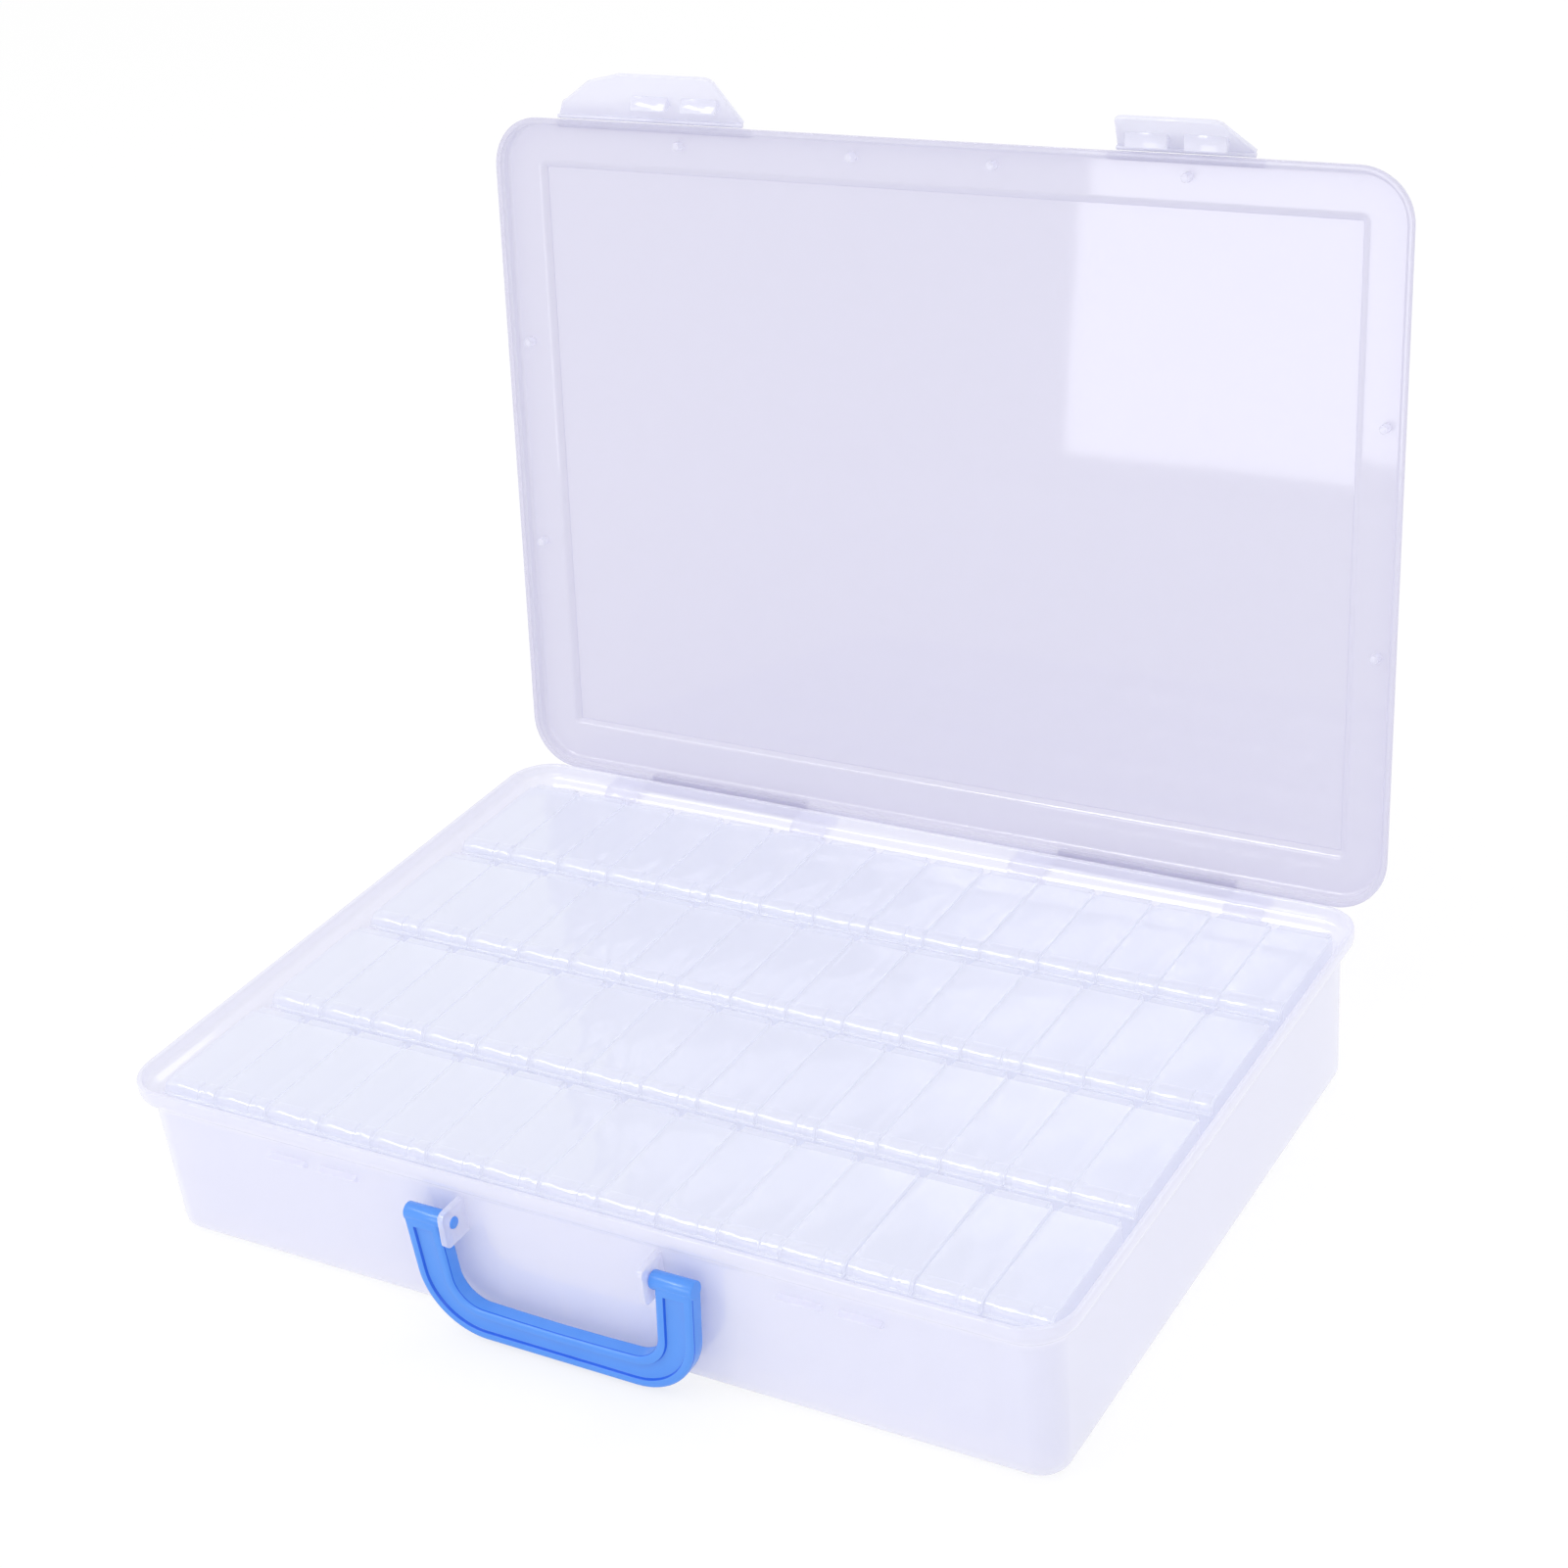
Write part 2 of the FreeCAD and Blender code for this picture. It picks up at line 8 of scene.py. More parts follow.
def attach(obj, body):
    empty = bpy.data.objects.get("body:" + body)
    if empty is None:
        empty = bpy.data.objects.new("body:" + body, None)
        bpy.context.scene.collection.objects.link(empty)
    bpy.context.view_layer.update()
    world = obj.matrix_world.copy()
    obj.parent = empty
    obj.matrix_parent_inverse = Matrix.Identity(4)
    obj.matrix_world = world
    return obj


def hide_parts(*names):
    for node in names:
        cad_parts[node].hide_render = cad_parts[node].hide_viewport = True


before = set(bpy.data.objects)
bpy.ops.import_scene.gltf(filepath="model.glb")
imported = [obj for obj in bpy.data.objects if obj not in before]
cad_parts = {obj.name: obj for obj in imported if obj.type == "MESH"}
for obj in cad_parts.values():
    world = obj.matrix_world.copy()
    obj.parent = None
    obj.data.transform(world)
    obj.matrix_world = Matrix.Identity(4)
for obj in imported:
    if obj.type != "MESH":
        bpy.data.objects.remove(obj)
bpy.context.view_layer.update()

bpy.ops.object.select_all(action="DESELECT")
print("frame loaded")

mm = 0.001
tiny = 0.02 * mm


# Small modelling helpers. Lengths are in millimetres until they reach Blender.

def place(x, y, z):
    return Vector((x, y, z)) * mm


def arc(centre, radius, begin, end, steps):
    turns = [math.radians(begin + (end - begin) * i / steps) for i in range(steps + 1)]
    return [(centre[0] + radius * math.cos(t), centre[1] + radius * math.sin(t)) for t in turns]


def startPoint(name, at):
    # A new mesh of one vertex, in edit mode, to extrude a line from
    bpy.ops.object.select_all(action="DESELECT")
    bpy.ops.mesh.primitive_plane_add(size=mm)
    piece = bpy.context.object
    piece.name = piece.data.name = name
    bpy.ops.object.mode_set(mode="EDIT")
    bpy.ops.mesh.select_mode(type="VERT")
    bpy.ops.mesh.select_all(action="SELECT")
    bpy.ops.mesh.merge(type="CENTER")
    bpy.ops.transform.translate(value=at)
    return piece


def drawLine(points):
    for before, after in zip(points, points[1:]):
        bpy.ops.mesh.extrude_vertices_move(TRANSFORM_OT_translate={"value": after - before})


def pick(piece, test):
    # Selects the vertices whose place, in millimetres, passes the test, and what lies between them
    bpy.ops.mesh.select_all(action="DESELECT")
    mesh = bmesh.from_edit_mesh(piece.data)
    chosen = {vert for vert in mesh.verts if test(vert.co / mm)}
    for vert in chosen:
        vert.select = True
    for part in list(mesh.edges) + list(mesh.faces):
        if chosen.issuperset(part.verts):
            part.select = True
    bmesh.update_edit_mesh(piece.data)


def pickFaces(piece, test):
    # Selects the faces whose centre, in millimetres, and normal pass the test
    bpy.ops.mesh.select_mode(type="FACE")
    bpy.ops.mesh.select_all(action="DESELECT")
    mesh = bmesh.from_edit_mesh(piece.data)
    for face in mesh.faces:
        if test(face.calc_center_median() / mm, face.normal):
            face.select = True
    bmesh.update_edit_mesh(piece.data)


def pickEdges(piece, test):
    # Selects the edges whose two ends, in millimetres, pass the test
    bpy.ops.mesh.select_mode(type="EDGE")
    bpy.ops.mesh.select_all(action="DESELECT")
    mesh = bmesh.from_edit_mesh(piece.data)
    for edge in mesh.edges:
        if test(edge.verts[0].co / mm, edge.verts[1].co / mm):
            edge.select = True
    bmesh.update_edit_mesh(piece.data)


def extrudeBy(x, y, z):
    bpy.ops.mesh.extrude_region_move(TRANSFORM_OT_translate={"value": place(x, y, z)})


def finishEdit(piece, outwards=True):
    bpy.ops.mesh.select_mode(type="VERT")
    bpy.ops.mesh.select_all(action="SELECT")
    bpy.ops.mesh.remove_doubles(threshold=tiny)
    if outwards:
        bpy.ops.mesh.normals_make_consistent(inside=False)
    bpy.ops.object.mode_set(mode="OBJECT")
    return piece


def modify(piece, kind, **settings):
    bpy.ops.object.select_all(action="DESELECT")
    piece.select_set(True)
    bpy.context.view_layer.objects.active = piece
    modifier = piece.modifiers.new(kind.title(), kind)
    for key, value in settings.items():
        setattr(modifier, key, value)
    bpy.ops.object.modifier_apply(modifier=modifier.name)
    return piece


def cutAway(piece, tool):
    modify(piece, "BOOLEAN", object=tool, operation="DIFFERENCE", solver="EXACT")
    bpy.data.objects.remove(tool)
    return piece


def soften(piece, width, segments=2, angle=35):
    # Rounds the edges sharper than the angle, as a mould does
    return modify(piece, "BEVEL", width=width * mm, segments=segments, limit_method="ANGLE",
                  angle_limit=math.radians(angle), harden_normals=False, use_clamp_overlap=True)


def smooth(piece, angle=40):
    bpy.ops.object.select_all(action="DESELECT")
    piece.select_set(True)
    bpy.context.view_layer.objects.active = piece
    bpy.ops.object.shade_smooth_by_angle(angle=math.radians(angle))
    return piece


def joinAll(pieces):
    bpy.ops.object.select_all(action="DESELECT")
    for piece in pieces:
        piece.select_set(True)
    bpy.context.view_layer.objects.active = pieces[0]
    if len(pieces) > 1:
        bpy.ops.object.join()
    return pieces[0]


def copyTo(piece, name, shift):
    bpy.ops.object.select_all(action="DESELECT")
    piece.select_set(True)
    bpy.context.view_layer.objects.active = piece
    bpy.ops.object.duplicate(linked=False)
    twin = bpy.context.object
    twin.name = twin.data.name = name
    twin.data.transform(Matrix.Translation(shift))
    return twin


def closedBar(name, outline, x0, x1):
    # The outline, drawn as (y, z), filled and drawn out from x0 to x1
    points = [place(x0, y, z) for y, z in outline]
    piece = startPoint(name, points[0])
    drawLine(points)
    bpy.ops.mesh.select_all(action="SELECT")
    bpy.ops.mesh.edge_face_add()
    extrudeBy(x1 - x0, 0, 0)
    return finishEdit(piece)


def rodX(name, x0, x1, y, z, radius, sides=32):
    # A rod along X with its ends chamfered
    bpy.ops.object.select_all(action="DESELECT")
    bpy.ops.mesh.primitive_cylinder_add(vertices=sides, radius=radius * mm, depth=abs(x1 - x0) * mm,
                                        location=place((x0 + x1) / 2, y, z), rotation=(0, math.pi / 2, 0))
    piece = bpy.context.object
    piece.name = piece.data.name = name
    bpy.ops.object.transform_apply(location=True, rotation=True, scale=True)
    return soften(piece, min(0.3, radius * 0.3), 2, 60)


def turned(piece, axisY, axisZ, degrees):
    # Turned about an axis along X, as the hinge does
    centre = place(0, axisY, axisZ)
    turn = Matrix.Rotation(math.radians(degrees), 4, "X")
    piece.data.transform(Matrix.Translation(centre) @ turn @ Matrix.Translation(-centre))
    return piece


# Materials

def linear(hexText):
    channels = [int(hexText[i:i + 2], 16) / 255 for i in (1, 3, 5)]
    return tuple(c / 12.92 if c <= 0.04045 else ((c + 0.055) / 1.055) ** 2.4 for c in channels) + (1.0,)


def addNode(tree, kind, links=None, **settings):
    node = tree.nodes.new(kind)
    for key, value in settings.items():
        if key in node.inputs.keys():
            node.inputs[key].default_value = value
        else:
            setattr(node, key, value)
    for socket, source in (links or {}).items():
        tree.links.new(source, node.inputs[socket])
    return node


def newMaterial(name):
    material = bpy.data.materials.new(name)
    material.use_nodes = True
    material.node_tree.nodes.clear()
    return material, material.node_tree


def clearPlastic(name, look):
    # A moulded clear plastic: a milky haze, a view through it, and gloss on top. The haze thickens
    # where the wall is seen side on, as the eye then looks through more of it.
    material, tree = newMaterial(name)
    path = addNode(tree, "ShaderNodeLightPath")
    where = addNode(tree, "ShaderNodeTexCoord")
    ripple = addNode(tree, "ShaderNodeTexNoise", {"Vector": where.outputs["Object"]},
                     **{"Scale": 1000 / look["rippleMm"], "Detail": 1.0, "Roughness": 0.4})
    bump = addNode(tree, "ShaderNodeBump", {"Height": ripple.outputs["Fac"]},
                   **{"Strength": 1.0, "Distance": look["rippleDeep"] * mm})
    sideOn = addNode(tree, "ShaderNodeLayerWeight", Blend=0.5)
    steep = addNode(tree, "ShaderNodeMath", {0: sideOn.outputs["Facing"]}, operation="POWER")
    steep.inputs[1].default_value = look["edgePower"]
    haze = addNode(tree, "ShaderNodeBsdfPrincipled",
                   **{"Base Color": linear(look["colour"]), "Roughness": 0.5, "IOR": look["ior"],
                      "Specular IOR Level": 0.0})
    glowing = addNode(tree, "ShaderNodeBsdfTranslucent", Color=linear(look["colour"]))
    milky = addNode(tree, "ShaderNodeMixShader", {1: haze.outputs[0], 2: glowing.outputs[0]})
    milky.inputs[0].default_value = look["glowShare"]
    through = addNode(tree, "ShaderNodeBsdfTransparent", Color=linear(look["tint"]))
    share = addNode(tree, "ShaderNodeMapRange", {"Value": steep.outputs[0]},
                    **{"To Min": look["hazeShare"], "To Max": look["edgeShare"]})
    lit = addNode(tree, "ShaderNodeMapRange", {"Value": path.outputs["Is Shadow Ray"]},
                  **{"To Min": 1.0, "To Max": look["shadowShare"]})
    shown = addNode(tree, "ShaderNodeMath", {0: share.outputs[0], 1: lit.outputs[0]}, operation="MULTIPLY")
    body = addNode(tree, "ShaderNodeMixShader", {0: shown.outputs[0], 1: through.outputs[0], 2: milky.outputs[0]})
    # The inner side of a wall mirrors as weakly as the outer side, which gives the twin highlights
    side = addNode(tree, "ShaderNodeNewGeometry")
    index = addNode(tree, "ShaderNodeMapRange", {"Value": side.outputs["Backfacing"]},
                    **{"To Min": look["ior"], "To Max": 1 / look["ior"]})
    mirrors = addNode(tree, "ShaderNodeFresnel", {"IOR": index.outputs[0], "Normal": bump.outputs["Normal"]})
    gloss = addNode(tree, "ShaderNodeBsdfGlossy", {"Normal": bump.outputs["Normal"]},
                    **{"Color": (1, 1, 1, 1), "Roughness": look["roughness"]})
    shiny = addNode(tree, "ShaderNodeMixShader", {0: mirrors.outputs[0], 1: body.outputs[0],
                                                  2: gloss.outputs[0]})
    # Behind seven faces the view through is closed by a glow in the plain colour of all that lies there: painted light,
    # an emission standing in for the light that would come through
    deep = addNode(tree, "ShaderNodeMath", {0: path.outputs["Transparent Depth"]}, operation="GREATER_THAN")
    deep.inputs[1].default_value = 6.5
    glow = addNode(tree, "ShaderNodeEmission", Color=linear(look["deepGlowColour"]), Strength=1.0)
    end = addNode(tree, "ShaderNodeMixShader", {0: deep.outputs[0], 1: shiny.outputs[0],
                                                2: glow.outputs[0]})
    addNode(tree, "ShaderNodeOutputMaterial", {"Surface": end.outputs[0]})
    return material


# Polypropylene, clarified and injection moulded: milky with a faint lavender cast and a soft gloss
caseLook = {"colour": "#EFEFFA", "tint": "#FDFDFF", "deepGlowColour": "#E9EAF8",
            "hazeShare": 0.44, "edgeShare": 0.95, "edgePower": 3.0, "glowShare": 0.2, "shadowShare": 0.12,
            "ior": 1.49, "roughness": 0.07, "rippleMm": 45, "rippleDeep": 0.03}
caseMaterial = clearPlastic("polypropylene, clarified and moulded", caseLook)

# The same plastic in the lid's thinner wall, painted a little greyer as painted shade, and with a sharper gloss
shadedLidLook = dict(caseLook, colour="#E2E1EE", tint="#F5F4FB", hazeShare=0.56, roughness=0.04)
shadedLidMaterial = clearPlastic("polypropylene, clarified lid, painted greyer for shade", shadedLidLook)

# The lid's small solid nubs and the latches: the same plastic painted lighter, as painted light against the shade they
# sit in, and letting more light glow through from behind
litNubLook = dict(caseLook, colour="#FAFAFE", hazeShare=0.35, edgeShare=0.6, glowShare=0.4)
litNubMaterial = clearPlastic("polypropylene, clarified nub, painted lighter", litNubLook)
litLatchLook = dict(caseLook, colour="#F2F2FB", hazeShare=0.75, glowShare=0.3)
litLatchMaterial = clearPlastic("polypropylene, clarified latch, painted lighter", litLatchLook)

# Polystyrene, crystal clear and injection moulded: nearly colourless, with sharp bright highlights
containerLook = {"colour": "#EEF1FA", "tint": "#FDFDFF", "deepGlowColour": "#EAECF9",
                 "hazeShare": 0.30, "edgeShare": 0.90, "edgePower": 3.0, "glowShare": 0.15, "shadowShare": 0.1,
                 "ior": 1.59, "roughness": 0.03, "rippleMm": 60, "rippleDeep": 0.002}
containerMaterial = clearPlastic("polystyrene, crystal moulded", containerLook)


def bluePlastic(name, look):
    # Solid moulded polypropylene with faint flow marks and a satin gloss
    material, tree = newMaterial(name)
    where = addNode(tree, "ShaderNodeTexCoord")
    flow = addNode(tree, "ShaderNodeTexNoise", {"Vector": where.outputs["Object"]},
                   **{"Scale": 1000 / look["flowMm"], "Detail": 3.0})
    tone = addNode(tree, "ShaderNodeMixRGB", {"Fac": flow.outputs["Fac"]},
                   **{"Color1": linear(look["colour"]), "Color2": linear(look["flowColour"])})
    grain = addNode(tree, "ShaderNodeTexNoise", {"Vector": where.outputs["Object"]},
                    **{"Scale": 1000 / look["grainMm"], "Detail": 2.0})
    bump = addNode(tree, "ShaderNodeBump", {"Height": grain.outputs["Fac"]},
                   **{"Strength": 0.12, "Distance": 0.05 * mm})
    skin = addNode(tree, "ShaderNodeBsdfPrincipled", {"Base Color": tone.outputs[0], "Normal": bump.outputs[0]},
                   **{"Roughness": look["roughness"], "IOR": 1.49})
    addNode(tree, "ShaderNodeOutputMaterial", {"Surface": skin.outputs[0]})
    return material


# Polypropylene, masterbatch blue and injection moulded: even colour, satin gloss, soft flow marks
handleLook = {"colour": "#4A8EEA", "flowColour": "#5697EF", "roughness": 0.24, "flowMm": 18, "grainMm": 0.8}
handleMaterial = bluePlastic("polypropylene, solid blue moulded", handleLook)

# The same plastic painted a darker blue on the steep walls of the sunk front: painted shade, as those walls stand in
# shadow
shadedGrooveLook = dict(handleLook, colour="#1F62DE", flowColour="#2A6EE6")
shadedGrooveMaterial = bluePlastic("polypropylene, solid blue with painted shade in the groove", shadedGrooveLook)


def dress(piece, material, body, nodes):
    if not piece.data.materials:
        piece.data.materials.append(material)
    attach(piece, body)
    if nodes:
        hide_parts(*nodes)
    return piece


# Case: an open tray with a beaded rim, knuckles for the lid and ears for the handle

case = {"halfWidth": 159.0, "halfDepth": 109.5, "corner": 16.0, "height": 61.1, "wall": 1.8,
        "overhang": 4.8, "draft": 1.2, "footRadius": 4.8, "bulgeRadius": 5.0, "bulgeDrop": 3.1,
        "bulgeAngle": 50.0, "neckRadius": 5.0, "cornerSteps": 14,
        "ribLength": 15.0, "ribSpacing": 6.0, "ribX": 97.5, "ribZ": 45.4, "ribReach": 2.6}
hinge = {"y": 130.5, "z": 54.6, "radius": 2.2, "inner": 38.5, "outer": 138.0, "knuckle": 15.0,
         "endGap": 0.3, "arm": 1.9}
ears = {"outer": 38.5, "thick": 2.3, "y": -127.2, "z": 44.0, "ahead": 5.2, "above": 5.6, "below": 7.6,
        "corner": 2.4, "bore": 2.08}


def caseSection(c):
    # The outside of the wall, from the floor's middle out and up to the rim
    wallOut = c["corner"] - c["overhang"]
    footOut = wallOut - c["draft"]
    bulge = (c["corner"] - c["bulgeRadius"], c["height"] - c["bulgeDrop"])
    turn = math.radians(c["bulgeAngle"])
    low = (bulge[0] + c["bulgeRadius"] * math.cos(turn), bulge[1] - c["bulgeRadius"] * math.sin(turn))
    slopeRun = low[0] - c["neckRadius"] * (1 - math.cos(turn)) - wallOut
    neckZ = low[1] - slopeRun / math.tan(turn) - c["neckRadius"] * math.sin(turn)
    line = [(0, 0)]
    line += arc((footOut - c["footRadius"], c["footRadius"]), c["footRadius"], -90, 0, 6)
    line += arc((wallOut + c["neckRadius"], neckZ), c["neckRadius"], 180, 180 - c["bulgeAngle"], 4)
    line += arc(bulge, c["bulgeRadius"], -c["bulgeAngle"], 0, 5)
    line += [(c["corner"], c["height"])]
    return line


def sweepRing(name, section, halfWidth, halfDepth, steps):
    # Sweeps a section round one rounded corner, out to both middles, and mirrors it twice
    points = [place(halfWidth + u, -halfDepth, z) for u, z in section]
    piece = startPoint(name, points[0])
    drawLine(points)
    bpy.ops.mesh.select_all(action="SELECT")
    bpy.ops.mesh.spin(steps=steps, angle=math.radians(90), center=place(halfWidth, -halfDepth, 0),
                      axis=(0, 0, 1))
    pick(piece, lambda p: abs(p.y + halfDepth) < 0.01 and p.x > halfWidth - 0.01)
    extrudeBy(0, halfDepth, 0)
    pick(piece, lambda p: abs(p.x - halfWidth) < 0.01 and p.y < -halfDepth + 0.01)
    extrudeBy(-halfWidth, 0, 0)
    bpy.ops.mesh.select_all(action="SELECT")
    bpy.ops.mesh.remove_doubles(threshold=tiny)
    pick(piece, lambda p: abs(p.x - halfWidth) < 0.01 and p.y > -halfDepth - 0.01)
    extrudeBy(-halfWidth, 0, 0)
    finishEdit(piece)
    return modify(piece, "MIRROR", use_axis=(True, True, False), use_mirror_merge=True,
                  merge_threshold=tiny)


def caseShell(c):
    piece = sweepRing("caseBase", caseSection(c), c["halfWidth"], c["halfDepth"], c["cornerSteps"])
    modify(piece, "SOLIDIFY", thickness=c["wall"] * mm, offset=-1, use_even_offset=True)
    return soften(piece, 0.6, 3, 60)


def knuckle(x0, x1, h, c):
    # A barrel on an arm that comes out of the rim's underside
    wall = c["halfDepth"] + c["corner"] - c["overhang"]
    line = [(wall - 0.6, h["z"] - 6.0), (wall + 4.4, h["z"] - h["radius"]), (h["y"], h["z"] - h["radius"]),
            (h["y"], h["z"] + h["radius"] - 0.5), (wall + 2.6, h["z"] + h["radius"] - 0.5)]
    line += [(wall - 0.6, h["z"] - 1.0)]
    arm = soften(closedBar("arm", line, x0, x1), 0.3)
    return [arm, rodX("barrel", x0, x1, h["y"], h["z"], h["radius"])]


def ear(x0, e, c):
    # A plate with rounded corners and a hole for the handle's pin
    wall = -c["halfDepth"] - c["corner"] + c["overhang"] + c["draft"] + 0.4
    front, top, low = e["y"] - e["ahead"], e["z"] + e["above"], e["z"] - e["below"]
    line = [(wall, low)]
    line += arc((front + e["corner"], low + e["corner"]), e["corner"], -90, -180, 5)
    line += arc((front + e["corner"], top - e["corner"]), e["corner"], 180, 90, 5)
    line += [(wall, top)]
    plate = closedBar("ear", line, x0, x0 + e["thick"])
    bore = rodX("bore", x0 - 1, x0 + e["thick"] + 1, e["y"], e["z"], e["bore"], 24)
    return soften(cutAway(plate, bore), 0.25)


def restRib(middle, c):
    wall = -c["halfDepth"] - c["corner"] + c["overhang"] + 0.4
    z, reach, half = c["ribZ"], c["ribReach"], c["ribLength"] / 2
    line = [(wall, z - 1.8), (wall - reach, z - 0.4), (wall - reach, z), (wall, z + 0.9)]
    return soften(closedBar("rib", line, middle - half, middle + half), 0.2)


def knuckleSpans(h):
    for side in (-1, 1):
        for near, far in ((h["inner"], h["inner"] + h["knuckle"]), (h["outer"] - h["knuckle"], h["outer"])):
            yield sorted((side * near, side * far))


print("case")
casePieces = [caseShell(case)]
for x0, x1 in knuckleSpans(hinge):
    casePieces += knuckle(x0, x1, hinge, case)
casePieces += [ear(-ears["outer"], ears, case), ear(ears["outer"] - ears["thick"], ears, case)]
ribStep = (case["ribLength"] + case["ribSpacing"]) / 2
casePieces += [restRib(side * case["ribX"] + end * ribStep, case) for side in (-1, 1) for end in (-1, 1)]
caseBase = smooth(joinAll(casePieces))
dress(caseBase, caseMaterial, "case", ["case_base"])


# Case lid, drawn shut and then turned open about its hinge

lid = {"gap": 0.5, "skin": 1.8, "seatGap": 0.2, "skirtDrop": 4.6, "cornerRound": 3.0, "flare": 0.8,
       "flareHeight": 1.5, "channel": 13.5, "rise": 2.0, "openAngle": 97.3, "cornerSteps": 14,
       "nubRadius": 1.8, "nubHeight": 3.5, "nubInset": 1.2, "frontNubs": (27.5, 99.0),
       "sideNubs": (82.5, 162.0), "landHeight": 2.6}
lid["outer"] = case["corner"] + lid["gap"] + lid["skin"]
lid["under"] = case["height"] + lid["seatGap"]
lid["top"] = lid["under"] + lid["skin"]
lid["skirt"] = case["height"] - lid["skirtDrop"]


def opened(piece):
    return turned(piece, hinge["y"], hinge["z"], -lid["openAngle"])


def lidSection(d):
    # The outside of the lid, from the panel's middle out and down to the skirt's edge
    outer, top, skirt = d["outer"], d["top"], d["skirt"]
    panel = outer - d["skin"] - d["channel"]
    line = [(0, top + d["rise"])]
    line += arc((panel - d["rise"] - 0.4, top + d["rise"] - 1.0), 1.0, 90, 45, 3)
    line += arc((panel + 0.4, top + 1.0), 1.0, 225, 270, 3)
    line += arc((outer - d["cornerRound"], top - d["cornerRound"]), d["cornerRound"], 90, 0, 7)
    line += [(outer, skirt + d["flareHeight"] + d["flare"]), (outer + d["flare"], skirt + d["flareHeight"]),
             (outer + d["flare"], skirt)]
    return line


def lidShell(c, d):
    piece = sweepRing("caseLid", lidSection(d), c["halfWidth"], c["halfDepth"], d["cornerSteps"])
    modify(piece, "SOLIDIFY", thickness=d["skin"] * mm, offset=-1, use_even_offset=True)
    return soften(piece, 0.4, 2, 60)


def nub(x, y, d):
    # A round peg that sits just inside the case's rim when the lid is shut
    bpy.ops.object.select_all(action="DESELECT")
    low = d["under"] - d["nubHeight"]
    bpy.ops.mesh.primitive_cone_add(vertices=20, radius1=(d["nubRadius"] - 0.3) * mm, radius2=d["nubRadius"] * mm,
                                    depth=(d["nubHeight"] + 0.4) * mm,
                                    location=place(x, y, low + (d["nubHeight"] + 0.4) / 2))
    bpy.ops.object.transform_apply(location=True, rotation=True, scale=True)
    bpy.context.object.data.materials.append(litNubMaterial)
    return soften(bpy.context.object, 0.35, 2, 60)


def lidBarrel(inner, outer, h, d, c):
    # The lid's barrel, with its leaf up to the skirt and a pin at each end
    x0, x1 = inner + h["knuckle"] + h["endGap"], outer - h["knuckle"] - h["endGap"]
    skirtY = c["halfDepth"] + d["outer"]
    line = [(h["y"], h["z"]), (h["y"] + h["radius"], h["z"]), (h["y"] + h["radius"], d["skirt"] + 1.5),
            (skirtY, d["under"] - 0.5), (skirtY - 1.4, d["under"] - 0.5), (skirtY - 1.4, d["skirt"]),
            (h["y"] - h["radius"], d["skirt"])]
    leaf = soften(closedBar("leaf", line, x0, x1), 0.25)
    barrel = rodX("lidBarrel", x0, x1, h["y"], h["z"], h["radius"])
    pin = rodX("pin", x0 - 9.0, x1 + 9.0, h["y"], h["z"], 1.1, 20)
    return [leaf, barrel, pin]


def latchLand(x0, x1, d, c):
    # The square edge on the lid that a latch hangs from
    y = -c["halfDepth"] - d["outer"]
    low = d["top"] - d["landHeight"]
    line = [(y, low), (y, d["top"]), (y + 3.0, d["top"]), (y + 3.0, d["under"]), (y + 1.8, d["under"]),
            (y + 1.8, low)]
    return soften(closedBar("land", line, x0, x1), 0.25)


latch = {"x": 97.5, "rootHalf": 24.8, "endHalf": 18.4, "length": 20.6, "skin": 1.6, "corner": 4.0,
         "standOff": 1.3, "bead": 0.8, "beadGap": 0.3, "shoulder": 30.0, "shoulderHeight": 6.5,
         "hookLength": 15.0, "hookSpacing": 6.0, "hookReach": 4.2, "hookHeight": 3.6, "hookBelowRim": 6.5,
         "leftAngle": 56.0, "rightAngle": 35.0}
latch["y"] = -(case["halfDepth"] + lid["outer"] + latch["bead"] + latch["beadGap"])
latch["z"] = lid["top"] - latch["bead"] - 0.1

print("case lid")
lidPieces = [lidShell(case, lid)]
reach = case["corner"] - case["wall"] - lid["nubRadius"] - lid["nubInset"]
for side in (-1, 1):
    lidPieces += [nub(side * x, -case["halfDepth"] - reach, lid) for x in lid["frontNubs"]]
    lidPieces += [nub(side * (case["halfWidth"] + reach), -case["halfDepth"] - case["corner"] + away, lid)
                  for away in lid["sideNubs"]]
    inner, outer = sorted((side * hinge["inner"], side * hinge["outer"]))
    lidPieces += lidBarrel(inner, outer, hinge, lid, case)
landHalf = latch["rootHalf"] + 3
lidPieces.append(latchLand(-latch["x"] - latch["rootHalf"] - latch["shoulder"], -latch["x"] + landHalf, lid, case))
lidPieces.append(latchLand(latch["x"] - landHalf, latch["x"] + landHalf, lid, case))
for piece in lidPieces:
    if not piece.data.materials:
        piece.data.materials.append(shadedLidMaterial)
caseLid = smooth(opened(joinAll(lidPieces)))
dress(caseLid, shadedLidMaterial, "lid", ["case_lid"])


# Latches: flaps on thin moulded film hinges, each with two hooks

def latchOutline(c, shoulder):
    # The flap seen from the front of the shut case, drawn down from its hinge, as (x, z)
    top, low = c["z"], c["z"] - c["length"]
    run = c["rootHalf"] - c["endHalf"]
    side = c["endHalf"] + run * c["corner"] / c["length"]
    cornerZ = low + c["corner"]
    round_ = [math.radians(a) for a in (0, 30, 60, 90)]
    right = [(c["rootHalf"], top)]
    right += [(side - c["corner"] * (1 - math.cos(t)), cornerZ - c["corner"] * math.sin(t)) for t in round_]
    if not shoulder:
        left = [(-x, z) for x, z in reversed(right)]
    else:
        left = [(-c["endHalf"] + c["corner"] - shoulder * 0.2, low), (-c["endHalf"] - shoulder * 0.16, low + 0.8),
                (-c["rootHalf"] - shoulder * 0.35, low + c["corner"]),
                (-c["rootHalf"] - shoulder * 0.80, top - c["shoulderHeight"] - 0.8),
                (-c["rootHalf"] - shoulder * 0.86, top - c["shoulderHeight"]),
                (-c["rootHalf"] - shoulder, top)]
    return right + left


